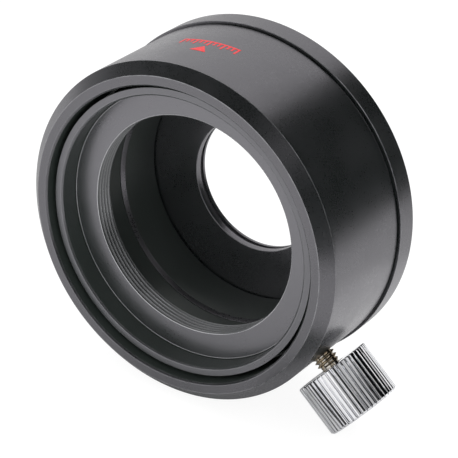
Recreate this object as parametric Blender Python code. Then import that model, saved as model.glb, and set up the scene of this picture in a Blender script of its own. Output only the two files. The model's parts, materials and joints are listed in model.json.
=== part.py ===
"""Rotating camera adapter ring: a beveled sleeve, a turning threaded ring in it, and a clamp thumbscrew.

Metres. The optical axis is +Y, from the camera side to the rear cap, and +Z is up. The origin is on the
optical axis in the plane of the sleeve's front face. The adapter stands on the rim of its rear cap and on
the thumbscrew's knob, as it does on a table.
"""

from math import asin, atan2, ceil, cos, hypot, pi, radians, sin, tau

import bmesh
import bpy
from mathutils import Matrix, Vector

MM = 0.001

# Driving dimensions, in millimetres. Every "_Y" is a distance behind the sleeve's front face.
SLEEVE_R = 28.75
SLEEVE_FRONT_BORE_R = 25.15
SLEEVE_FRONT_BORE_DEPTH = 8.0
SLEEVE_GUIDE_BORE_R = 24.75
SLEEVE_END_Y = 20.55
BEVEL = 1.85

CAP_R = 29.20
CAP_START_Y = 20.95
CAP_BEVEL = 1.65
CAP_FLOOR_Y = 23.70
CAP_END_Y = 26.40
CAP_OPENING_R = 11.75
CAP_LIP_R = 11.90
CAP_LIP_LENGTH = 0.50
CAP_GROOVE_R = 12.30
CAP_GROOVE_START_Y = 24.90

CARRIER_R = 24.45
CARRIER_FACE_Y = 1.50
CARRIER_RECESS_R = 23.10
CARRIER_BORE_R = 20.80
CARRIER_END_Y = 14.30
CARRIER_SKIRT_R = 22.90
LOCK_GROOVE_DEPTH = 0.50
LOCK_GROOVE_WIDTH = 3.80

INSERT_R = 22.80
INSERT_FACE_Y = 5.20
INSERT_END_Y = 8.90
LENS_THREAD_MINOR_R = 18.60
LENS_THREAD_DEPTH = 0.40
LENS_THREAD_PITCH = 0.75

BARREL_R = 24.40
BARREL_BORE_R = 20.35
BARREL_NOSE_LENGTH = 2.00
BARREL_CHAMFER = 0.55
BARREL_START_Y = 14.60

SPIGOT_R = 27.00
CLEARANCE = 0.30
EDGE = 0.20

SCREW_Y = 12.00
STUD_MAJOR_R = 1.96
STUD_THREAD_DEPTH = 0.42
STUD_PITCH = 0.70
STUD_INNER = 26.30
STUD_SOCKET_DEPTH = 4.50
TAPPED_HOLE_R = 2.20
PAD_R = 1.60
PAD_INNER = 24.85
PAD_OUTER = 26.05

KNOB_R = 6.44
KNOB_INNER = 31.15
KNOB_OUTER = 40.10
KNOB_INNER_CHAMFER = 0.15
KNOB_CHAMFER = 0.50
KNOB_RIBS = 42
KNOB_RIB_HEIGHT = 0.26

RING_SEGMENTS = 72
SCREW_SEGMENTS = 24
ROWS_PER_PITCH = 4

# The knob's rim and the cap's lowest facet touch one level surface, which sets how far below level it points.
RIM_DROP = CAP_R * cos(pi / RING_SEGMENTS)
KNOB_RIM = (KNOB_OUTER - KNOB_CHAMFER, KNOB_R)
SCREW_BELOW_LEVEL = asin(RIM_DROP / hypot(*KNOB_RIM)) - atan2(KNOB_RIM[1], KNOB_RIM[0])


def material(name, colour, metallic, roughness):
    """A Principled BSDF with one colour."""
    made = bpy.data.materials.new(name)
    made.use_nodes = True
    shader = made.node_tree.nodes["Principled BSDF"]
    shader.inputs["Base Color"].default_value = (*colour, 1.0)
    shader.inputs["Metallic"].default_value = metallic
    shader.inputs["Roughness"].default_value = roughness
    return made


def optical_axis_place():
    """Maps the turning axis to +Y, and angle 0 to +X."""
    return Matrix(((1, 0, 0, 0), (0, 0, 1, 0), (0, -1, 0, 0), (0, 0, 0, 1)))


def screw_place():
    """Maps the turning axis to the thumbscrew's axis, pointing away from the optical axis."""
    outward = Vector((cos(SCREW_BELOW_LEVEL), 0, -sin(SCREW_BELOW_LEVEL)))
    across = Vector((0, 1, 0))
    third = outward.cross(across)
    turn = Matrix((across, third, outward)).transposed().to_4x4()
    return Matrix.Translation((0, SCREW_Y * MM, 0)) @ turn


def circle(height, radius, segments, start):
    """One level loop of points round the turning axis; radius may depend on the angle and the height."""
    points = []
    for step in range(segments):
        angle = start + tau * step / segments
        here = radius(angle, height) if callable(radius) else radius
        points.append((here * cos(angle) * MM, here * sin(angle) * MM, height * MM))
    return points


def turned(name, rows, place, look, segments, ring, start=0.0):
    """A solid made of level loops joined in order: a ring closes on its first row, a plug gets two caps."""
    shape = bmesh.new()
    loops = []
    for height, radius in rows:
        loops.append([shape.verts.new(point) for point in circle(height, radius, segments, start)])
    pairs = list(zip(loops, loops[1:] + loops[:1])) if ring else list(zip(loops, loops[1:]))
    for lower, upper in pairs:
        for step in range(segments):
            after = (step + 1) % segments
            shape.faces.new((lower[step], lower[after], upper[after], upper[step]))
    if not ring:
        shape.faces.new(loops[0])
        shape.faces.new(loops[-1])
    bmesh.ops.recalc_face_normals(shape, faces=shape.faces)
    mesh = bpy.data.meshes.new(name)
    shape.to_mesh(mesh)
    shape.free()
    mesh.shade_smooth()
    mesh.set_sharp_from_angle(angle=radians(30))
    mesh.materials.append(look)
    made = bpy.data.objects.new(name, mesh)
    made.matrix_world = place
    bpy.context.scene.collection.objects.link(made)
    return made


def optical_ring(name, rows, look):
    """A ring round the optical axis, with a flat facet at its lowest point."""
    return turned(name, rows, optical_axis_place(), look, RING_SEGMENTS, True, pi / RING_SEGMENTS)


def helix(low_r, depth, pitch, first, last):
    """A radius that follows a right-hand thread between two heights, and is low_r outside them."""

    def radius(angle, height):
        if not first < height < last:
            return low_r
        turn = (height / pitch - angle / tau) % 1.0
        return low_r + depth * (1.0 - abs(2.0 * turn - 1.0))

    return radius


def thread_rows(first, last, pitch, radius):
    """Rows close enough to show the thread between two heights."""
    count = ceil((last - first) / pitch * ROWS_PER_PITCH)
    return [(first + (last - first) * step / count, radius) for step in range(count + 1)]


def front_sleeve(look):
    """The outer tube: front bevel, wide front bore, guide bore, tapped hole and the spigot for the cap."""
    rows = [
        (0, SLEEVE_R - BEVEL),
        (BEVEL, SLEEVE_R),
        (SLEEVE_END_Y - EDGE, SLEEVE_R),
        (SLEEVE_END_Y, SLEEVE_R - EDGE),
        (SLEEVE_END_Y, SPIGOT_R),
        (CAP_FLOOR_Y - CLEARANCE, SPIGOT_R),
        (CAP_FLOOR_Y - CLEARANCE, SLEEVE_GUIDE_BORE_R),
        (SLEEVE_FRONT_BORE_DEPTH, SLEEVE_GUIDE_BORE_R),
        (SLEEVE_FRONT_BORE_DEPTH, SLEEVE_FRONT_BORE_R),
        (EDGE, SLEEVE_FRONT_BORE_R),
        (0, SLEEVE_FRONT_BORE_R + EDGE),
    ]
    sleeve = optical_ring("front_sleeve", rows, look)
    cutter_rows = [(CARRIER_R - 1.0, TAPPED_HOLE_R), (SLEEVE_R + 1.0, TAPPED_HOLE_R)]
    cutter = turned("tapped_hole_cutter", cutter_rows, screw_place(), look, SCREW_SEGMENTS, False)
    cutter.hide_render = True
    cutter.display_type = "WIRE"
    hole = sleeve.modifiers.new("tapped_hole", "BOOLEAN")
    hole.operation = "DIFFERENCE"
    hole.object = cutter


def rear_cap(look):
    """The screw-on cup behind the sleeve: a proud rim, a beveled back and a grooved opening in its floor."""
    lip_start = CAP_END_Y - CAP_LIP_LENGTH
    rows = [
        (CAP_START_Y, CAP_R - EDGE),
        (CAP_START_Y + EDGE, CAP_R),
        (CAP_END_Y - CAP_BEVEL, CAP_R),
        (CAP_END_Y, CAP_R - CAP_BEVEL),
        (CAP_END_Y, CAP_LIP_R),
        (lip_start, CAP_LIP_R),
        (lip_start, CAP_GROOVE_R),
        (CAP_GROOVE_START_Y, CAP_GROOVE_R),
        (CAP_GROOVE_START_Y, CAP_OPENING_R),
        (CAP_FLOOR_Y + EDGE, CAP_OPENING_R),
        (CAP_FLOOR_Y, CAP_OPENING_R + EDGE),
        (CAP_FLOOR_Y, SPIGOT_R + CLEARANCE),
        (CAP_START_Y, SPIGOT_R + CLEARANCE),
    ]
    optical_ring("rear_cap", rows, look)


def carrier_ring(look):
    """The ring that turns in the sleeve: a narrow face, a deep recess, a groove for the pad and a rear skirt."""
    half = LOCK_GROOVE_WIDTH / 2
    skirt_end = CARRIER_END_Y + BARREL_NOSE_LENGTH
    rows = [
        (CARRIER_FACE_Y, CARRIER_R - EDGE),
        (CARRIER_FACE_Y + EDGE, CARRIER_R),
        (SCREW_Y - half - LOCK_GROOVE_DEPTH, CARRIER_R),
        (SCREW_Y - half, CARRIER_R - LOCK_GROOVE_DEPTH),
        (SCREW_Y + half, CARRIER_R - LOCK_GROOVE_DEPTH),
        (SCREW_Y + half + LOCK_GROOVE_DEPTH, CARRIER_R),
        (skirt_end, CARRIER_R),
        (skirt_end, CARRIER_SKIRT_R),
        (CARRIER_END_Y, CARRIER_SKIRT_R),
        (CARRIER_END_Y, CARRIER_BORE_R),
        (INSERT_END_Y + CLEARANCE, CARRIER_BORE_R),
        (INSERT_END_Y + CLEARANCE, CARRIER_RECESS_R),
        (CARRIER_FACE_Y + EDGE, CARRIER_RECESS_R),
        (CARRIER_FACE_Y, CARRIER_RECESS_R + EDGE),
    ]
    optical_ring("carrier_ring", rows, look)


def thread_insert(look):
    """The ring in the carrier's recess, with the female thread that the camera's lens screws into."""
    first = INSERT_FACE_Y + EDGE
    last = INSERT_END_Y - EDGE
    thread = helix(LENS_THREAD_MINOR_R, LENS_THREAD_DEPTH, LENS_THREAD_PITCH, first, last)
    rows = [
        (INSERT_FACE_Y, INSERT_R - EDGE),
        (INSERT_FACE_Y + EDGE, INSERT_R),
        (INSERT_END_Y, INSERT_R),
        (INSERT_END_Y, LENS_THREAD_MINOR_R + EDGE),
        *reversed(thread_rows(first, last, LENS_THREAD_PITCH, thread)),
        (INSERT_FACE_Y, LENS_THREAD_MINOR_R + EDGE),
    ]
    optical_ring("thread_insert", rows, look)


def inner_barrel(look):
    """The tube between the carrier ring and the cap's floor, with a chamfered nose inside the skirt."""
    end = CAP_FLOOR_Y - CLEARANCE
    nose_r = CARRIER_SKIRT_R - CLEARANCE
    nose_end = BARREL_START_Y + BARREL_NOSE_LENGTH
    rows = [
        (BARREL_START_Y, nose_r),
        (nose_end, nose_r),
        (nose_end, BARREL_R),
        (end, BARREL_R),
        (end, BARREL_BORE_R),
        (BARREL_START_Y + BARREL_CHAMFER, BARREL_BORE_R),
        (BARREL_START_Y, BARREL_BORE_R + BARREL_CHAMFER),
    ]
    optical_ring("inner_barrel", rows, look)


def knob_rib(angle, height):
    """The radius of the straight knurl: a narrow groove between two wide ribs."""
    turn = (angle / tau * KNOB_RIBS) % 1.0
    return KNOB_R - KNOB_RIB_HEIGHT if turn > 0.5 else KNOB_R


def thumbscrew_knob(look):
    """The straight-knurled head, with a blind socket for the stud."""
    socket_r = STUD_MAJOR_R + EDGE / 2
    root_r = KNOB_R - KNOB_RIB_HEIGHT
    rows = [
        (KNOB_INNER + STUD_SOCKET_DEPTH, socket_r),
        (KNOB_INNER, socket_r),
        (KNOB_INNER, root_r - KNOB_INNER_CHAMFER),
        (KNOB_INNER + KNOB_INNER_CHAMFER, knob_rib),
        (KNOB_OUTER - KNOB_CHAMFER, knob_rib),
        (KNOB_OUTER, KNOB_R - KNOB_CHAMFER),
    ]
    quarter_rib = tau / KNOB_RIBS / 4
    return turned("thumbscrew_knob", rows, screw_place(), look, KNOB_RIBS * 2, False, quarter_rib)


def thumbscrew_stud(look):
    """The threaded stud, from the pad to the bottom of the knob's socket."""
    root_r = STUD_MAJOR_R - STUD_THREAD_DEPTH
    last = KNOB_INNER + STUD_SOCKET_DEPTH - CLEARANCE
    thread = helix(root_r, STUD_THREAD_DEPTH, STUD_PITCH, STUD_INNER + EDGE, KNOB_INNER + EDGE)
    rows = [
        *thread_rows(STUD_INNER, KNOB_INNER + EDGE, STUD_PITCH, thread),
        (KNOB_INNER + EDGE * 2, STUD_MAJOR_R),
        (last, STUD_MAJOR_R),
    ]
    return turned("thumbscrew_stud", rows, screw_place(), look, SCREW_SEGMENTS, False)


def pressure_pad(look):
    """The soft tip that the stud pushes against the carrier ring."""
    rows = [
        (PAD_INNER, PAD_R - EDGE),
        (PAD_INNER + EDGE, PAD_R),
        (PAD_OUTER, PAD_R),
    ]
    return turned("pressure_pad", rows, screw_place(), look, SCREW_SEGMENTS, False)


def main():
    for old in list(bpy.data.objects):
        bpy.data.objects.remove(old, do_unlink=True)
    shell = material("anodised_shell", (0.035, 0.035, 0.038), 0.6, 0.42)
    ring = material("anodised_ring", (0.040, 0.040, 0.043), 0.6, 0.45)
    bore = material("anodised_bore", (0.028, 0.029, 0.030), 0.5, 0.50)
    chrome = material("chrome_knob", (0.78, 0.78, 0.80), 1.0, 0.12)
    brass = material("plated_brass", (0.56, 0.50, 0.40), 1.0, 0.25)
    nylon = material("nylon_pad", (0.75, 0.74, 0.70), 0.0, 0.50)
    front_sleeve(shell)
    rear_cap(shell)
    carrier_ring(ring)
    thread_insert(ring)
    inner_barrel(bore)
    screw = bpy.data.objects.new("screw_axis", None)
    screw.matrix_world = screw_place()
    bpy.context.scene.collection.objects.link(screw)
    for piece in (thumbscrew_knob(chrome), thumbscrew_stud(brass), pressure_pad(nylon)):
        piece.parent = screw
        piece.matrix_parent_inverse = screw.matrix_world.inverted()


main()
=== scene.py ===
"""Looks of the rotating adapter ring: turned rings, a cut lens thread, a knurled thumbscrew, and finishes.

Each piece is drawn in millimetres round its own turning axis, local +Z, and then placed in the frame of the
CAD model: optical axis +Y, front face at y = 0, +Z up.
"""

import json
from math import ceil, cos, pi, radians, sin, tan, tau

import bmesh
import bpy
import numpy as np
from mathutils import Matrix, Vector


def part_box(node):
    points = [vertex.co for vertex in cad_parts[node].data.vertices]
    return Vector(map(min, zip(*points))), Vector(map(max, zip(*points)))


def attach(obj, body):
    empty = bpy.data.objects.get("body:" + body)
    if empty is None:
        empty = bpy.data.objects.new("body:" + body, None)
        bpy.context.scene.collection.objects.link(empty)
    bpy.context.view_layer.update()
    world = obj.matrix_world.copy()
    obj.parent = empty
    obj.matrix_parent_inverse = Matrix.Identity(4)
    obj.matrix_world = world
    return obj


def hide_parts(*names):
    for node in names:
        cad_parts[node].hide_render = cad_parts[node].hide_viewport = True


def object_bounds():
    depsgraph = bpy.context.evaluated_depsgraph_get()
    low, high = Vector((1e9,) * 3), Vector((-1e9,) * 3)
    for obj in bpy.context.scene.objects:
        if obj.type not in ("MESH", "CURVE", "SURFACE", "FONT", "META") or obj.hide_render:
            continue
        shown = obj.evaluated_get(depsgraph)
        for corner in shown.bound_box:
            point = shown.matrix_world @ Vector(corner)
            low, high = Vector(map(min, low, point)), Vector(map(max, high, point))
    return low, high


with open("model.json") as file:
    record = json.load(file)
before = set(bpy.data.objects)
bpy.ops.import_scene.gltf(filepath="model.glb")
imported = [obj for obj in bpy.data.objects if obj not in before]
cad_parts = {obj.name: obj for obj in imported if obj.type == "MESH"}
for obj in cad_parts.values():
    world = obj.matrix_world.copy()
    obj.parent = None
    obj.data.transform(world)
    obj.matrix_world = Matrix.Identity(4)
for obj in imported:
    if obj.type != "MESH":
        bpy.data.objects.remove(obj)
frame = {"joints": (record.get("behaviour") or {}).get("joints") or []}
CAD_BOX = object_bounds()

MM = 0.001

# Read from the CAD solids, in millimetres. Their rings are 72-sided, with a flat facet at the lowest point.
CAD_FACET = cos(pi / 72)


def cad_size(node):
    """(where it starts, where it ends, outer radius) of a CAD ring round the optical axis."""
    low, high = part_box(node)
    return low.y / MM, high.y / MM, high.x / MM / CAD_FACET


SLEEVE_START, SPIGOT_END, SLEEVE_R = cad_size("front_sleeve")
CAP_START, CAP_END, CAP_R = cad_size("rear_cap")
CARRIER_START, SKIRT_END, CARRIER_R = cad_size("carrier_ring")
INSERT_START, INSERT_END, _ = cad_size("thread_insert")
BARREL_START, BARREL_END, BARREL_R = cad_size("inner_barrel")
FLOOR_Z = CAD_BOX[0].z

# Inner steps of the same rings, in millimetres.
SLEEVE_END = 20.55
FRONT_BORE_R, FRONT_BORE_DEPTH = 25.15, 8.0
GUIDE_BORE_R = 24.75
SPIGOT_R = 27.0
BEVEL = 1.85
CAP_FLOOR = 23.7
CAP_BEVEL = 1.65
CAP_BORE_R = 27.3
OPENING_R, LIP_R, GROOVE_R = 11.75, 11.9, 12.3
GROOVE_START, LIP_START = 24.9, 25.9
RECESS_R, RECESS_END = 23.1, 9.2
UNDERCUT_R, CARRIER_END = 20.8, 14.3
SKIRT_R = 22.9
LOCK_GROOVE = (9.6, 10.1, 13.9, 14.4)
LOCK_GROOVE_DEPTH = 0.5
BARREL_BORE_R, BARREL_NOSE_R, NOSE_END = 20.35, 22.6, 16.6
BARREL_CHAMFER = 0.55

# The insert's lens thread. Its crest and root are flat for these shares of the pitch.
CREST_R, LENS_THREAD_DEPTH, LENS_PITCH = 18.6, 0.4, 0.75
LENS_CREST, LENS_ROOT = 0.16, 0.26
MOUTH_R = CREST_R + 0.16
MOUTH_FILLET = 0.08
SEAT_R = RECESS_R - 0.05
INSERT_RIM = 0.14

# The thumbscrew, along its own axis from the optical axis.
SCREW_Y = 12.0
STUD_R, STUD_DEPTH, STUD_PITCH = 1.96, 0.42, 0.7
STUD_CREST, STUD_ROOT = 0.125, 0.25
STUD_INNER, STUD_SOCKET = 26.3, 35.6
HOLE_R, HOLE_MOUTH_R = 2.2, 2.5
PAD_R, PAD_INNER, PAD_OUTER = 1.6, 24.85, 26.05
KNOB_R, KNOB_INNER, KNOB_OUTER = 6.44, 31.15, 40.1
KNOB_INNER_CHAMFER, KNOB_CHAMFER = 0.15, 0.35
RIBS, RIB_HEIGHT, RIB_TURN = 42, 0.26, radians(5.6)
DISH_R, DISH_DEPTH = 4.6, 0.35

RING_STEPS, LENS_THREAD_STEPS, STUD_STEPS, SMALL_STEPS = 288, 648, 96, 64
STEPS_PER_RIB = 14
FILLET_STEPS = 4
SHARP = radians(35)
CENTRE = 0.02


def screw_direction():
    """The thumbscrew's outward axis, from the joint that turns it."""
    joint = next(j for j in frame["joints"] if j["name"] == "thumbscrew_turn")
    return -Vector(joint["axis"]).normalized()


def optical_place():
    """Local +Z to +Y, in metres."""
    return Matrix(((1, 0, 0, 0), (0, 0, 1, 0), (0, -1, 0, 0), (0, 0, 0, 1)))


def screw_place():
    """Local +Z to the thumbscrew's outward axis, in metres."""
    outward = screw_direction()
    across = Vector((0, 1, 0))
    turn = Matrix((across, outward.cross(across), outward)).transposed().to_4x4()
    return Matrix.Translation((0, SCREW_Y * MM, 0)) @ turn


# ---------------------------------------------------------------- outlines and turned meshes


def softened(corners):
    """Rounds the corners (height, radius, fillet) of a closed outline into rows (height, radius, edge).

    The edge value is 1 in the middle of a curve and 0 on the flats. The finishes use it for worn edges.
    """
    rows = []
    for index, (height, radius, fillet) in enumerate(corners):
        here = Vector((height, radius))
        if not fillet:
            rows.append((height, radius, 0.0))
            continue
        before = Vector(corners[index - 1][:2]) - here
        after = Vector(corners[(index + 1) % len(corners)][:2]) - here
        half = before.angle(after) / 2
        reach = min(fillet / tan(half), before.length * 0.45, after.length * 0.45)
        first, last = here + before.normalized() * reach, here + after.normalized() * reach
        for step in range(FILLET_STEPS + 1):
            t = step / FILLET_STEPS
            point = first * (1 - t) ** 2 + here * 2 * t * (1 - t) + last * t**2
            rows.append((point.x, point.y, 4 * t * (1 - t)))
    return rows


def row_points(row, angles):
    """Points and edge values of one loop. A row is three numbers, or a function from angles to them."""
    height, radius, edge = row(angles) if callable(row) else row
    ones = np.ones_like(angles)
    points = np.stack((radius * np.cos(angles), radius * np.sin(angles), height * ones), axis=1)
    return points * MM, edge * ones


def turned(name, rows, place, steps, ring):
    """A mesh of loops round local +Z, each joined to the next.

    A ring closes on its first row. A plug has a flat cap at both ends.
    """
    angles = np.linspace(0, tau, steps + 1)
    loops = [row_points(row, angles) for row in rows]
    points = np.concatenate([loop[0] for loop in loops])
    edges = np.concatenate([loop[1] for loop in loops])
    width = steps + 1
    pairs = len(rows) if ring else len(rows) - 1
    faces = []
    for row in range(pairs):
        low, high = row * width, (row + 1) % len(rows) * width
        faces += [(low + i, low + i + 1, high + i + 1, high + i) for i in range(steps)]
    if not ring:
        last = (len(rows) - 1) * width
        faces += [tuple(range(steps)), tuple(range(last, last + steps))]
    mesh = bpy.data.meshes.new(name)
    mesh.from_pydata(points.tolist(), [], faces)
    mesh.attributes.new("edge", "FLOAT", "POINT").data.foreach_set("value", edges.astype(np.float32))
    tidy_mesh(mesh)
    made = bpy.data.objects.new(name, mesh)
    made.matrix_world = place
    bpy.context.scene.collection.objects.link(made)
    return made


def tidy_mesh(mesh):
    """Joins the seam and the rows that meet, drops what collapsed, and sets the shading."""
    shape = bmesh.new()
    shape.from_mesh(mesh)
    bmesh.ops.remove_doubles(shape, verts=shape.verts, dist=2e-7)
    bmesh.ops.dissolve_degenerate(shape, edges=shape.edges, dist=1e-7)
    bmesh.ops.recalc_face_normals(shape, faces=shape.faces)
    shape.to_mesh(mesh)
    shape.free()
    shade(mesh)


def shade(mesh):
    """Smooth shading that breaks at sharp edges."""
    mesh.shade_smooth()
    mesh.set_sharp_from_angle(angle=SHARP)


def finished(piece, look, body, nodes):
    """Gives a piece its finish and its place in the assembly."""
    piece.data.materials.clear()
    piece.data.materials.append(look)
    weighted = piece.modifiers.new("even_shading", "WEIGHTED_NORMAL")
    weighted.keep_sharp = True
    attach(piece, body)
    if nodes:
        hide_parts(*nodes)
    return piece


def second_finish(piece, look, chosen):
    """Gives another finish to some faces of a ring.

    They are chosen by their lean, from -1 (they look at the axis) to 1, and by their radius in millimetres.
    """
    piece.data.materials.append(look)
    for face in piece.data.polygons:
        across = Vector((face.center.x, face.center.y, 0))
        if chosen(face.normal.dot(across.normalized()), across.length / MM):
            face.material_index = 1


def optical_ring(name, corners):
    """A plain ring round the optical axis, from a closed outline of (height, radius, fillet) corners."""
    return turned(name, softened(corners), optical_place(), RING_STEPS, True)


def cut(piece, cutter):
    """Takes the cutter's shape out of the piece and removes the cutter."""
    hole = piece.modifiers.new("hole", "BOOLEAN")
    hole.operation = "DIFFERENCE"
    hole.object = cutter
    graph = bpy.context.evaluated_depsgraph_get()
    mesh = bpy.data.meshes.new_from_object(piece.evaluated_get(graph))
    piece.modifiers.clear()
    piece.data = mesh
    bpy.data.objects.remove(cutter)
    shade(mesh)


# ---------------------------------------------------------------- threads


def thread_wave(angles, heights, pitch):
    """0 on the middle of a crest and 1 in the middle of a root of a right-hand thread."""
    turn = (heights / pitch - angles / tau) % 1.0
    return np.abs(2.0 * turn - 1.0)


def flanks(wave, crest, root):
    """The wave with a flat crest and a flat root, given as shares of the pitch."""
    return np.clip((wave - crest) / (1 - crest - root), 0, 1)


def thread_rows(start, end, pitch, crest, root, radius):
    """Loops that climb with the thread and stop at its two ends, where their points meet."""
    bend = 0.025  # half the width of a rounded corner, as a share of the pitch
    turns = []
    for corner in ((1 - crest) / 2, (1 + crest) / 2, root / 2, 1 - root / 2):
        turns += [corner - bend, corner + bend]
    turns = sorted(turns + [0.5])
    rows = []
    for whole in range(-2, ceil((end - start) / pitch) + 1):
        for turn in turns:
            rows.append(climbing_row(start, end, pitch, whole + turn, radius))
    return rows


def climbing_row(start, end, pitch, turn, radius):
    """One loop that climbs by a pitch in a turn, held between the thread's ends."""
    base = start - start % pitch

    def row(angles):
        heights = np.clip(base + pitch * (turn + angles / tau), start, end)
        within = (heights > start) & (heights < end)
        return heights, radius(angles, heights), within * thread_edge(angles, heights, pitch)

    return row


def thread_edge(angles, heights, pitch):
    """How worn a place on the thread is: 1 on the crests, and 0 from a little below them."""
    return np.clip(1.6 - 6 * thread_wave(angles, heights, pitch), 0, 1)


# ---------------------------------------------------------------- pieces


def front_sleeve():
    """The fixed outer tube: bevel, narrow front face, spigot for the cap, and the thumbscrew's hole."""
    outer = [(y, SLEEVE_R, 0) for y in np.linspace(BEVEL + 0.8, SLEEVE_END - 0.8, 18)]
    corners = [
        (SLEEVE_START, SLEEVE_R - BEVEL, 0.25),
        (BEVEL, SLEEVE_R, 0.14),
        *outer,
        (SLEEVE_END, SLEEVE_R, 0.16),
        (SLEEVE_END, SPIGOT_R, 0.05),
        (SPIGOT_END, SPIGOT_R, 0.15),
        (SPIGOT_END, GUIDE_BORE_R, 0.10),
        (FRONT_BORE_DEPTH, GUIDE_BORE_R, 0.05),
        (FRONT_BORE_DEPTH, FRONT_BORE_R, 0.05),
        (0.30, FRONT_BORE_R, 0.08),
        (SLEEVE_START, FRONT_BORE_R + 0.30, 0.10),
    ]
    sleeve = optical_ring("front_sleeve_turned", corners)
    countersink_start = SLEEVE_R - (HOLE_MOUTH_R - HOLE_R) - 0.25
    rows = [
        (GUIDE_BORE_R - 2, HOLE_R, 0),
        (countersink_start, HOLE_R, 0),
        (SLEEVE_R + 0.05, HOLE_MOUTH_R + 0.1, 0),
        (SLEEVE_R + 2, HOLE_MOUTH_R + 0.1, 0),
    ]
    cut(sleeve, turned("hole_cutter", rows, screw_place(), SMALL_STEPS, False))
    return sleeve


def rear_cap():
    """The cup behind the sleeve, with the grooved opening in its floor."""
    corners = [
        (CAP_START, CAP_R, 0.12),
        (CAP_END - CAP_BEVEL, CAP_R, 0.10),
        (CAP_END, CAP_R - CAP_BEVEL, 0.08),
        (CAP_END, LIP_R, 0.05),
        (LIP_START, LIP_R, 0.05),
        (LIP_START, GROOVE_R, 0.05),
        (GROOVE_START, GROOVE_R, 0.05),
        (GROOVE_START, OPENING_R, 0.08),
        (CAP_FLOOR, OPENING_R, 0.10),
        (CAP_FLOOR, CAP_BORE_R, 0.05),
        (CAP_START, CAP_BORE_R, 0.10),
    ]
    return optical_ring("rear_cap_turned", corners)


def carrier_ring():
    """The turning ring: a recess for the insert in front, and the thumbscrew's lock groove outside."""
    groove = [
        (LOCK_GROOVE[0], CARRIER_R, 0.08),
        (LOCK_GROOVE[1], CARRIER_R - LOCK_GROOVE_DEPTH, 0.08),
        (LOCK_GROOVE[2], CARRIER_R - LOCK_GROOVE_DEPTH, 0.08),
        (LOCK_GROOVE[3], CARRIER_R, 0.08),
    ]
    corners = [
        (CARRIER_START, CARRIER_R, 0.08),
        *groove,
        (SKIRT_END, CARRIER_R, 0.10),
        (SKIRT_END, SKIRT_R, 0.10),
        (CARRIER_END, SKIRT_R, 0.05),
        (CARRIER_END, UNDERCUT_R, 0.08),
        (RECESS_END, UNDERCUT_R, 0.05),
        (RECESS_END, RECESS_R, 0.05),
        (CARRIER_START + 0.28, RECESS_R, 0.08),
        (CARRIER_START, RECESS_R + 0.28, 0.10),
    ]
    return optical_ring("carrier_ring_turned", corners)


def insert_bore(angles, heights):
    """Radius of the threaded bore, opened by a short chamfer at both ends."""
    wave = thread_wave(angles, heights, LENS_PITCH)
    cut_r = CREST_R + LENS_THREAD_DEPTH * flanks(wave, LENS_CREST, LENS_ROOT)
    front = MOUTH_R - (heights - INSERT_START)
    back = MOUTH_R + 0.1 - (INSERT_END - heights)
    return np.maximum(cut_r, np.maximum(front, back))


def thread_insert():
    """The threaded ring, with a rounded mouth and a raised rim at its seat in the carrier.

    The first corner of its outside only tells the next ones which way the outline comes from.
    """
    mouth = []
    for t in np.linspace(0, 1, FILLET_STEPS + 1):
        down, out = MOUTH_FILLET * (1 - t) ** 2, MOUTH_FILLET * t**2
        mouth.append((INSERT_START + down, MOUTH_R - down + out, 6 * t * (1 - t)))
    outside = softened([
        (INSERT_END, MOUTH_R + 0.1, 0),
        (INSERT_START, MOUTH_R + 0.12, 0),
        (INSERT_START, SEAT_R - 0.10, 0.12),
        (INSERT_START - INSERT_RIM, SEAT_R - 0.02, 0),
        (INSERT_START - INSERT_RIM, SEAT_R, 0.02),
        (INSERT_END, SEAT_R, 0.10),
    ])
    thread_start = INSERT_START + MOUTH_FILLET
    thread = thread_rows(thread_start, INSERT_END, LENS_PITCH, LENS_CREST, LENS_ROOT, insert_bore)
    rows = [*mouth, *outside[1:], *reversed(thread)]
    return turned("thread_insert_cut", rows, optical_place(), LENS_THREAD_STEPS, True)


def inner_barrel():
    """The matt tube behind the thread, with a chamfered nose."""
    corners = [
        (BARREL_START, BARREL_NOSE_R, 0.05),
        (NOSE_END, BARREL_NOSE_R, 0.05),
        (NOSE_END, BARREL_R, 0.10),
        (BARREL_END, BARREL_R, 0.10),
        (BARREL_END, BARREL_BORE_R, 0.06),
        (BARREL_START + BARREL_CHAMFER, BARREL_BORE_R, 0.06),
        (BARREL_START, BARREL_BORE_R + BARREL_CHAMFER, 0.06),
    ]
    return optical_ring("inner_barrel_turned", corners)


def knurl(angles):
    """Depth of a straight knurl below its crests: narrow valleys between ribs with round shoulders."""
    across = np.abs(((angles - RIB_TURN) / tau * RIBS) % 1.0 - 0.5) * 2
    shoulder = 0.13 * np.clip((across - 0.25) / 0.50, 0, 1) ** 2
    valley = 0.87 * np.clip((across - 0.75) / 0.18, 0, 1)
    return RIB_HEIGHT * np.clip(shoulder + valley, 0, 1)


def knob_row(height, most):
    """A loop of the knob: the knurl, cut back to a radius where an end's chamfer passes through the ribs."""

    def row(angles):
        radius = np.minimum(KNOB_R - knurl(angles), most)
        worn = np.where(knurl(angles) < 0.02, 0.5, 0.0)
        return height, radius, worn

    return row


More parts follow.
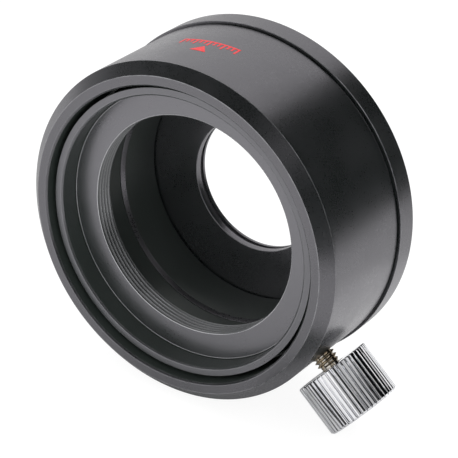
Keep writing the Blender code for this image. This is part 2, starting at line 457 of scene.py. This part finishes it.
def thumbscrew_knob():
    """The knurled head: chamfered ends, a shallow dish in the outer face and a socket for the stud."""
    socket_r = STUD_R + 0.12
    inner_root, outer_root = KNOB_R - KNOB_INNER_CHAMFER, KNOB_R - KNOB_CHAMFER
    inner = [knob_row(KNOB_INNER + step, inner_root + step) for step in (0, KNOB_INNER_CHAMFER)]
    outer = [knob_row(KNOB_OUTER - step, outer_root + step) for step in np.linspace(KNOB_CHAMFER, 0, 5)]
    body = [knob_row(y, KNOB_R) for y in np.linspace(KNOB_INNER + 1.4, KNOB_OUTER - 1.4, 5)]
    rows = [
        (STUD_SOCKET + 0.2, CENTRE, 0),
        (STUD_SOCKET + 0.2, socket_r, 0),
        (KNOB_INNER + 0.25, socket_r, 0),
        (KNOB_INNER, socket_r + 0.25, 0),
        *inner,
        *body,
        *outer,
        (KNOB_OUTER, DISH_R + 0.15, 0),
        (KNOB_OUTER - 0.05, DISH_R + 0.02, 0.5),
        (KNOB_OUTER - DISH_DEPTH, DISH_R - 0.35, 0),
        (KNOB_OUTER - DISH_DEPTH, CENTRE, 0),
    ]
    return turned("thumbscrew_knob_knurled", rows, screw_place(), RIBS * STEPS_PER_RIB, False)


def thumbscrew_stud():
    """The stud: a cut thread from its chamfered tip to a short plain neck at the knob."""
    last = KNOB_INNER - 0.35
    tip_r, neck_r = STUD_R - STUD_DEPTH - 0.1, STUD_R - STUD_DEPTH

    def outside(angles, heights):
        wave = thread_wave(angles, heights, STUD_PITCH)
        cut_r = STUD_R - STUD_DEPTH * flanks(wave, STUD_CREST, STUD_ROOT)
        tip = tip_r + (heights - STUD_INNER)
        neck = neck_r + 0.9 * (last - heights)
        return np.minimum(cut_r, np.minimum(tip, neck))

    rows = [
        (STUD_INNER, CENTRE, 0),
        (STUD_INNER, tip_r, 0.5),
        *thread_rows(STUD_INNER, last, STUD_PITCH, STUD_CREST, STUD_ROOT, outside),
        (last, neck_r, 0),
        (KNOB_INNER + 0.1, neck_r, 0),
        (KNOB_INNER + 0.25, STUD_R, 0),
        (STUD_SOCKET, STUD_R, 0),
        (STUD_SOCKET, CENTRE, 0),
    ]
    return turned("thumbscrew_stud_cut", rows, screw_place(), STUD_STEPS, False)


def pressure_pad():
    """The soft tip, slightly crowned where it presses."""
    crown = [(PAD_INNER + 0.12 * (r / PAD_R) ** 2, r, 0) for r in np.linspace(CENTRE, PAD_R - 0.22, 8)]
    rows = [
        *crown,
        (PAD_INNER + 0.16, PAD_R - 0.08, 0.5),
        (PAD_INNER + 0.32, PAD_R, 0),
        (PAD_OUTER - 0.1, PAD_R, 0),
        (PAD_OUTER, PAD_R - 0.1, 0),
        (PAD_OUTER, CENTRE, 0),
    ]
    return turned("pressure_pad_moulded", rows, screw_place(), SMALL_STEPS, False)


# The printed index: a pointer under a graduated arc, with its sizes in mm from a place on the sleeve. The
# paint starts a little below the sleeve's surface, so that there is no gap under it.
MARK_ANGLE, MARK_Y = 98.5, 11.0
PAINT_TOP, PAINT_ROOT = 0.02, -0.05
HALF_LINE = 0.17
ARC_Y = 1.55
TICKS_EACH_SIDE, TICK_SPACING = 6, 0.85
TICK_TOP, TICK_START, LONG_TICK, SHORT_TICK = 1.45, 1.30, 1.5, 0.9
POINTER_HALF, POINTER_TIP, POINTER_BASE = 1.45, -0.60, -2.7


def mark_strip(shape, stations):
    """A thin patch of paint on the sleeve, between stations (along the rim, low, high)."""
    loops = []
    for along, low, high in stations:
        angle = radians(MARK_ANGLE) - along / SLEEVE_R
        corners = []
        for y, lift in ((low, PAINT_ROOT), (high, PAINT_ROOT), (high, PAINT_TOP), (low, PAINT_TOP)):
            radius = SLEEVE_R + lift
            place = (radius * cos(angle) * MM, (MARK_Y + y) * MM, radius * sin(angle) * MM)
            corners.append(shape.verts.new(place))
        loops.append(corners)
    for one, two in zip(loops, loops[1:]):
        for i in range(4):
            j = (i + 1) % 4
            shape.faces.new((one[i], one[j], two[j], two[i]))
    shape.faces.new(loops[0])
    shape.faces.new(loops[-1])


def index_mark():
    """The printed rotation index: 13 graduations on an arc, and a triangular pointer."""
    shape = bmesh.new()
    reach = TICK_SPACING * TICKS_EACH_SIDE + HALF_LINE
    arc = [(x, ARC_Y - HALF_LINE, ARC_Y + HALF_LINE) for x in np.linspace(-reach, reach, 25)]
    mark_strip(shape, arc)
    for tick in range(-TICKS_EACH_SIDE, TICKS_EACH_SIDE + 1):
        foot = TICK_START - (LONG_TICK if tick % 3 == 0 else SHORT_TICK)
        middle = tick * TICK_SPACING
        mark_strip(shape, [(middle + side, foot, TICK_TOP) for side in (-HALF_LINE, HALF_LINE)])
    slope = (POINTER_TIP - POINTER_BASE) / POINTER_HALF
    steps = np.linspace(-POINTER_HALF + 0.02, POINTER_HALF - 0.02, 15)
    mark_strip(shape, [(x, POINTER_BASE, POINTER_TIP - slope * abs(x)) for x in steps])
    bmesh.ops.recalc_face_normals(shape, faces=shape.faces)
    mesh = bpy.data.meshes.new("index_mark")
    shape.to_mesh(mesh)
    shape.free()
    shade(mesh)
    made = bpy.data.objects.new("index_mark", mesh)
    bpy.context.scene.collection.objects.link(made)
    return made


# ---------------------------------------------------------------- finishes

BARE_ALUMINIUM = (0.50, 0.50, 0.52, 1.0)
# The unevenness that all anodised finishes share, in mm, and how it changes their roughness.
GRAIN_SIZE, GRAIN_DEPTH = 0.26, 0.0048
CLOUD_SIZE, PATCH_SIZE = 7.0, 1.6
ROUGHNESS_SPREAD, EDGE_POLISH = 0.08, 0.19
# How much faster turning marks follow each other along the axis than along the radius, and how many times a
# metre their noise changes round the axis.
AXIS_SHARE, ROUND_CELLS = 1.7, (60, 60, 0)
# The anodised finishes: the dye's colour, the clear layer's index, tint and roughness, the width and depth of
# a turning mark in mm, and how bright the edges are rubbed. Evenness is the share of the rub that is left in
# the places with the least of it.
ANODISED = {
    "anodised_shell_turned": {
        "body": (0.006, 0.0090, 0.0080),
        "index": 2.45,
        "tint": (0.96, 0.92, 1.0),
        "roughness": 0.31,
        "line": 0.16,
        "line_depth": 0.0010,
        "wear": 0.42,
    },
    "anodised_ring_faced": {
        "body": (0.012, 0.0170, 0.0150),
        "index": 2.6,
        "tint": (0.96, 0.92, 1.0),
        "roughness": 0.34,
        "line": 0.14,
        "line_depth": 0.0014,
        "wear": 0.50,
    },
    "anodised_insert_faced": {
        "body": (0.013, 0.0180, 0.0160),
        "index": 2.8,
        "tint": (0.96, 0.92, 1.0),
        "roughness": 0.33,
        "line": 0.14,
        "line_depth": 0.0016,
        "wear": 0.50,
    },
    "anodised_lens_thread": {
        "body": (0.017, 0.023, 0.020),
        "index": 2.1,
        "tint": (0.97, 0.97, 1.0),
        "roughness": 0.40,
        "line": 0.20,
        "line_depth": 0.0012,
        "wear": 0.75,
        "evenness": 0.85,
    },
    "anodised_bore_matt": {
        "body": (0.022, 0.029, 0.026),
        "index": 1.9,
        "tint": (0.97, 1.0, 0.98),
        "roughness": 0.44,
        "line": 0.20,
        "line_depth": 0.0016,
        "wear": 0.25,
    },
}


def add(tree, kind, inputs=(), **settings):
    """A shader node with its settings. Its inputs are linked to sockets and set to values."""
    node = tree.nodes.new(kind)
    for name, value in settings.items():
        setattr(node, name, value)
    for key, value in dict(inputs).items():
        if isinstance(value, bpy.types.NodeSocket):
            tree.links.new(value, node.inputs[key])
        else:
            node.inputs[key].default_value = value
    return node


def new_finish(name, metallic, **constants):
    """An empty material with a Principled shader. Returns (material, tree, shader)."""
    made = bpy.data.materials.new(name)
    made.use_nodes = True
    tree = made.node_tree
    shader = tree.nodes["Principled BSDF"]
    shader.inputs["Metallic"].default_value = metallic
    for socket, value in constants.items():
        shader.inputs[socket.replace("_", " ")].default_value = value
    return made, tree, shader


def math_node(tree, operation, one, two):
    """The result of a sum or product of two values."""
    return add(tree, "ShaderNodeMath", {0: one, 1: two}, operation=operation).outputs[0]


def mixed(tree, one, two, share):
    """A weighted sum: the share of the first value, and the rest of the second."""
    first = math_node(tree, "MULTIPLY", one, share)
    return math_node(tree, "ADD", first, math_node(tree, "MULTIPLY", two, 1 - share))


def lathe_streaks(tree, place, line):
    """Noise that is fine along the axis and the radius, and long round the axis, as from a lathe tool."""
    parts = add(tree, "ShaderNodeSeparateXYZ", {0: place}).outputs
    flat = add(tree, "ShaderNodeCombineXYZ", {0: parts[0], 1: parts[1]}).outputs[0]
    radius = add(tree, "ShaderNodeVectorMath", {0: flat}, operation="LENGTH").outputs["Value"]
    across = math_node(tree, "ADD", radius, math_node(tree, "MULTIPLY", parts[2], AXIS_SHARE))
    fine = math_node(tree, "MULTIPLY", across, 1 / (line * MM))
    round_it = add(tree, "ShaderNodeVectorMath", {0: flat, 1: ROUND_CELLS}, operation="MULTIPLY").outputs[0]
    spots = add(tree, "ShaderNodeSeparateXYZ", {0: round_it}).outputs
    where = add(tree, "ShaderNodeCombineXYZ", {0: spots[0], 1: spots[1], 2: fine}).outputs[0]
    return add(tree, "ShaderNodeTexNoise", {"Vector": where, "Scale": 1.0, "Detail": 2.0}).outputs[0]


def speckle(tree, place, size, detail=2.0):
    """Noise with lumps of about that size in millimetres."""
    inputs = {"Vector": place, "Scale": 1 / (size * MM), "Detail": detail}
    return add(tree, "ShaderNodeTexNoise", inputs).outputs[0]


def ranged(tree, value, low, high, to_low, to_high):
    """The value mapped from one range to another, and held inside it."""
    inputs = {0: value, 1: low, 2: high, 3: to_low, 4: to_high}
    return add(tree, "ShaderNodeMapRange", inputs).outputs[0]


def blended(tree, factor, one, two):
    """The mix of two colours."""
    mix = add(tree, "ShaderNodeMix", data_type="RGBA")
    for key, value in ((0, factor), (6, one), (7, two)):
        if isinstance(value, bpy.types.NodeSocket):
            tree.links.new(value, mix.inputs[key])
        else:
            mix.inputs[key].default_value = value
    return mix.outputs[2]


def shaded(colour, share):
    """The colour, darker or lighter, with an alpha of 1."""
    return (*(part * share for part in colour), 1.0)


def bumped(tree, shader, *layers):
    """Links the normal to surface relief: each layer is (height from 0 to 1, depth in mm)."""
    normal = None
    for height, depth in layers:
        inputs = {"Height": height, "Distance": depth * MM, "Strength": 1.0}
        if normal is not None:
            inputs["Normal"] = normal
        normal = add(tree, "ShaderNodeBump", inputs).outputs[0]
    tree.links.new(normal, shader.inputs["Normal"])


def anodised(name, body, index, tint, roughness, line, line_depth, wear, evenness=0.35):
    """Black anodised aluminium: a dyed body under a clear layer, with turning marks and rubbed edges."""
    made, tree, shader = new_finish(name, 0.0, IOR=index, Specular_Tint=(*tint, 1.0))
    place = add(tree, "ShaderNodeTexCoord").outputs["Object"]
    streaks = lathe_streaks(tree, place, line)
    grain = speckle(tree, place, GRAIN_SIZE)
    cloud = speckle(tree, place, CLOUD_SIZE, 3.0)
    edge = add(tree, "ShaderNodeAttribute", attribute_name="edge").outputs["Fac"]
    patchy = ranged(tree, speckle(tree, place, PATCH_SIZE, 4.0), 0.38, 0.62, evenness, 1.0)
    rubbed = math_node(tree, "MULTIPLY", math_node(tree, "MULTIPLY", edge, patchy), wear)
    tone = ranged(tree, mixed(tree, cloud, streaks, 0.6), 0.3, 0.7, 0.0, 1.0)
    base = blended(tree, tone, shaded(body, 0.8), shaded(body, 1.2))
    tree.links.new(blended(tree, rubbed, base, BARE_ALUMINIUM), shader.inputs["Base Color"])
    tree.links.new(rubbed, shader.inputs["Metallic"])
    gloss = mixed(tree, cloud, grain, 0.4)
    dull = ranged(tree, gloss, 0.3, 0.7, roughness - ROUGHNESS_SPREAD, roughness + ROUGHNESS_SPREAD)
    polish = math_node(tree, "MULTIPLY", edge, EDGE_POLISH)
    tree.links.new(math_node(tree, "SUBTRACT", dull, polish), shader.inputs["Roughness"])
    bumped(tree, shader, (streaks, line_depth), (grain, GRAIN_DEPTH))
    return made


# Noise cells in a metre across and along a drawing mark.
HAIRS = (14000, 14000, 500)


def chrome():
    """Bright chrome plate: hairline drawing marks and faint finger haze."""
    made, tree, shader = new_finish("chrome_plate", 1.0)
    place = add(tree, "ShaderNodeTexCoord").outputs["Object"]
    haze = speckle(tree, place, 2.2, 4.0)
    hairs = add(tree, "ShaderNodeVectorMath", {0: place, 1: HAIRS}, operation="MULTIPLY").outputs[0]
    drawn = add(tree, "ShaderNodeTexNoise", {"Vector": hairs, "Scale": 1.0, "Detail": 2.0}).outputs[0]
    tone = ranged(tree, haze, 0.3, 0.7, 0.0, 1.0)
    base = blended(tree, tone, (0.83, 0.84, 0.87, 1), (0.92, 0.92, 0.94, 1))
    tree.links.new(base, shader.inputs["Base Color"])
    tree.links.new(ranged(tree, haze, 0.3, 0.7, 0.05, 0.12), shader.inputs["Roughness"])
    bumped(tree, shader, (drawn, 0.0012))
    return made


def plated_brass():
    """Thin nickel over brass, worn warm on the thread's crests and in patches."""
    made, tree, shader = new_finish("worn_nickel_on_brass", 1.0)
    place = add(tree, "ShaderNodeTexCoord").outputs["Object"]
    edge = add(tree, "ShaderNodeAttribute", attribute_name="edge").outputs["Fac"]
    patches = ranged(tree, speckle(tree, place, 0.9, 3.0), 0.42, 0.62, 0.0, 0.8)
    warm = math_node(tree, "MAXIMUM", patches, edge)
    base = blended(tree, warm, (0.66, 0.63, 0.58, 1), (0.80, 0.66, 0.46, 1))
    tree.links.new(base, shader.inputs["Base Color"])
    fine = speckle(tree, place, 0.25)
    tree.links.new(ranged(tree, fine, 0.3, 0.7, 0.16, 0.30), shader.inputs["Roughness"])
    bumped(tree, shader, (fine, 0.003))
    return made


def nylon():
    """Natural nylon, slightly mottled and matt."""
    made, tree, shader = new_finish("natural_nylon", 0.0)
    place = add(tree, "ShaderNodeTexCoord").outputs["Object"]
    mottle = speckle(tree, place, 0.5, 3.0)
    base = blended(tree, mottle, (0.70, 0.68, 0.62, 1), (0.80, 0.79, 0.75, 1))
    tree.links.new(base, shader.inputs["Base Color"])
    tree.links.new(ranged(tree, mottle, 0.3, 0.7, 0.40, 0.58), shader.inputs["Roughness"])
    bumped(tree, shader, (speckle(tree, place, 0.12), 0.004))
    return made


def red_print():
    """Pad-printed red ink: slightly uneven cover, with a fine texture."""
    made, tree, shader = new_finish("red_ink", 0.0)
    place = add(tree, "ShaderNodeTexCoord").outputs["Object"]
    cover = speckle(tree, place, 0.35, 3.0)
    base = blended(tree, cover, (0.62, 0.006, 0.012, 1), (0.82, 0.016, 0.022, 1))
    tree.links.new(base, shader.inputs["Base Color"])
    tree.links.new(ranged(tree, cover, 0.3, 0.7, 0.38, 0.52), shader.inputs["Roughness"])
    bumped(tree, shader, (speckle(tree, place, 0.10), 0.002))
    return made


# ---------------------------------------------------------------- camera, floor and lights

# The photograph's viewpoint: what the camera looks at, from where in degrees and metres, and its lens in mm.
TARGET = Vector((4.61, 9.06, -0.27)) * MM
CAMERA_AZIMUTH, CAMERA_ELEVATION, CAMERA_ROLL = 30.633, 29.833, 6.512
CAMERA_DISTANCE = 0.338
CAMERA_LENS = 166.7
LIGHT_DISTANCE = 0.9
WORLD_STRENGTH = 1.15
WALL_DISTANCE, WALL_GLOW = 5.0, 0.006


def direction(azimuth, elevation):
    """The unit vector towards a place round the object: azimuth 0 is the front (-Y) and 90 is +X."""
    turn, rise = radians(azimuth), radians(elevation)
    return Vector((sin(turn) * cos(rise), -cos(turn) * cos(rise), sin(rise)))


def camera():
    """The scene's camera, at the photograph's viewpoint."""
    data = bpy.data.cameras.new("camera")
    data.lens = CAMERA_LENS
    data.sensor_width = 36.0
    data.clip_start, data.clip_end = 0.01, 20.0
    made = bpy.data.objects.new("camera", data)
    back = direction(CAMERA_AZIMUTH, CAMERA_ELEVATION)
    level = (-back).to_track_quat("-Z", "Y").to_matrix().to_4x4()
    roll = Matrix.Rotation(radians(CAMERA_ROLL), 4, "Z")
    made.matrix_world = Matrix.Translation(TARGET + back * CAMERA_DISTANCE) @ level @ roll
    bpy.context.scene.collection.objects.link(made)
    bpy.context.scene.camera = made


def softbox(name, azimuth, elevation, width, height, radiance):
    """A rectangular studio light that faces the object, out of the camera's sight."""
    data = bpy.data.lights.new(name, "AREA")
    data.shape = "RECTANGLE"
    data.size, data.size_y = width, height
    data.energy = radiance * pi * width * height
    made = bpy.data.objects.new(name, data)
    back = direction(azimuth, elevation)
    made.location = back * LIGHT_DISTANCE
    made.rotation_mode = "QUATERNION"
    made.rotation_quaternion = (-back).to_track_quat("-Z", "Y")
    made.visible_camera = False
    bpy.context.scene.collection.objects.link(made)


def pale_board(name, white, glow=0.0):
    """The finish of a matt board with a trace of unevenness, which may glow."""
    made, tree, shader = new_finish(name, 0.0, Emission_Color=(1, 1, 1, 1), Emission_Strength=glow)
    place = add(tree, "ShaderNodeTexCoord").outputs["Object"]
    tone = speckle(tree, place, 40.0, 3.0)
    grey = (white, white, white)
    base = blended(tree, tone, shaded(grey, 0.98), shaded(grey, 1.02))
    tree.links.new(base, shader.inputs["Base Color"])
    shader.inputs["Roughness"].default_value = 0.9
    shader.inputs["Specular IOR Level"].default_value = 0.1
    return made


def flat_board(name, corners, z, look):
    """A level board of the studio, which isn't part of the object."""
    mesh = bpy.data.meshes.new(name)
    mesh.from_pydata([(x, y, z) for x, y in corners], [], [tuple(range(len(corners)))])
    mesh.materials.append(look)
    made = bpy.data.objects.new(name, mesh)
    bpy.context.scene.collection.objects.link(made)
    return made


def mirrored_only(board):
    """Hides a board or a wall from everything but reflections."""
    board.visible_camera = False
    board.visible_diffuse = False
    board.visible_shadow = False


def table_corners(edge, side, far):
    """A rectangle whose nearest edge lies at a distance from the object in one direction."""
    out, along = direction(side, 0).xy, direction(side + 90, 0).xy
    places = ((edge, -far), (edge, far), (-far, far), (-far, -far))
    return [tuple(out * one + along * two) for one, two in places]


def surroundings():
    """A pale world that the camera sees and that gives soft light. Reflections show the dim walls instead."""
    world = bpy.data.worlds.new("surroundings")
    bpy.context.scene.world = world
    world.use_nodes = True
    world.node_tree.nodes["Background"].inputs["Color"].default_value = (1, 1, 1, 1)
    world.node_tree.nodes["Background"].inputs["Strength"].default_value = WORLD_STRENGTH
    world.cycles_visibility.glossy = False


def dim_walls():
    """Dark studio walls, which only reflections show."""
    dim = bpy.data.materials.new("dim_walls")
    dim.use_nodes = True
    dim.node_tree.nodes.remove(dim.node_tree.nodes["Principled BSDF"])
    glow = add(dim.node_tree, "ShaderNodeEmission", {"Color": (0.9, 0.95, 1.0, 1), "Strength": WALL_GLOW})
    dim.node_tree.links.new(glow.outputs[0], dim.node_tree.nodes["Material Output"].inputs[0])
    shape = bmesh.new()
    bmesh.ops.create_icosphere(shape, subdivisions=4, radius=WALL_DISTANCE)
    mesh = bpy.data.meshes.new("dim_walls")
    shape.to_mesh(mesh)
    shape.free()
    mesh.materials.append(dim)
    walls = bpy.data.objects.new("dim_walls", mesh)
    bpy.context.scene.collection.objects.link(walls)
    mirrored_only(walls)


# How far the cards lie above the level that the object stands on, and the floor below it, in metres.
SHEET, FLOOR_GAP = 0.00002, 0.00005
# A dark card on the table in front of the thumbscrew, which gives its chrome a dark band to mirror: painted
# shadow, for the ring's shade there.
PAINTED_SHADOW_CARD = [(0.010, -0.022), (0.046, -0.022), (0.046, -0.001), (0.017, -0.002)]
# A bright, glowing one behind it, under the low side of the sleeve: painted light, for lit floor where the
# ring shades the table.
PAINTED_LIGHT_CARD = [(0.010, 0.0268), (0.052, 0.0268), (0.058, 0.062), (0.010, 0.062)]


def studio():
    """A pale floor, softboxes, and a table that ends on the right and that only reflections show, with a dark
    card of painted shadow and a glowing card of painted light on it.
    """
    table = flat_board("table", table_corners(0.18, 95, 2.5), FLOOR_Z, pale_board("table_board", 0.64))
    mirrored_only(table)
    cards_z = FLOOR_Z + SHEET
    # Painted shadow: a dark card, seen only in reflections, where the ring's shade falls in front of the
    # thumbscrew.
    mirrored_only(flat_board("painted_shadow_card", PAINTED_SHADOW_CARD, cards_z, pale_board("painted_shadow_board", 0.04)))
    # Painted light: a glowing card, seen only in reflections, that brightens the floor that the ring shades
    # behind it.
    painted_light_look = pale_board("painted_light_board", 0.50, 0.50)
    mirrored_only(flat_board("painted_light_card", PAINTED_LIGHT_CARD, cards_z, painted_light_look))
    square = [(-4.0, -4.0), (4.0, -4.0), (4.0, 4.0), (-4.0, 4.0)]
    floor = flat_board("floor", square, FLOOR_Z - FLOOR_GAP, pale_board("floor_board", 0.15, 0.90))
    floor.visible_glossy = False
    surroundings()
    dim_walls()
    softbox("front_light", -19, 17, 1.26, 0.62, 0.95)
    softbox("back_left_light", 215, 30, 1.18, 1.04, 0.92)
    softbox("left_fill", 262, 30, 0.40, 1.0, 0.4)
    softbox("front_right_fill", 22, 15, 0.24, 0.46, 0.4)
    softbox("upper_right_fill", 58, 46, 0.56, 0.24, 0.5)
    softbox("right_strip", 96, 52, 0.26, 0.12, 1.0)
    softbox("back_strip", 167, 6, 0.28, 0.22, 1.0)


def main():
    """Builds the studio and the pieces."""
    bpy.context.scene.view_settings.view_transform = "Standard"
    camera()
    studio()
    shell, ring, face, cut_thread, bore = (anodised(name, **look) for name, look in ANODISED.items())
    sleeve = finished(front_sleeve(), shell, "housing", ["front_sleeve"])
    second_finish(sleeve, bore, lambda lean, radius: radius < FRONT_BORE_R + 0.02)  # its bore
    finished(rear_cap(), shell, "housing", ["rear_cap"])
    barrel = finished(inner_barrel(), bore, "housing", ["inner_barrel"])
    second_finish(barrel, shell, lambda lean, radius: -0.85 < lean < -0.50)  # its chamfer
    finished(index_mark(), red_print(), "housing", [])
    carrier = finished(carrier_ring(), ring, "rotator", ["carrier_ring"])
    second_finish(carrier, bore, lambda lean, radius: abs(lean) > 0.85)  # its walls, inside and outside
    insert = finished(thread_insert(), face, "rotator", ["thread_insert"])
    second_finish(insert, cut_thread, lambda lean, radius: lean < -0.20)  # its thread
    finished(thumbscrew_knob(), chrome(), "thumbscrew", ["thumbscrew_knob"])
    finished(thumbscrew_stud(), plated_brass(), "thumbscrew", ["thumbscrew_stud"])
    finished(pressure_pad(), nylon(), "pad", ["pressure_pad"])


main()
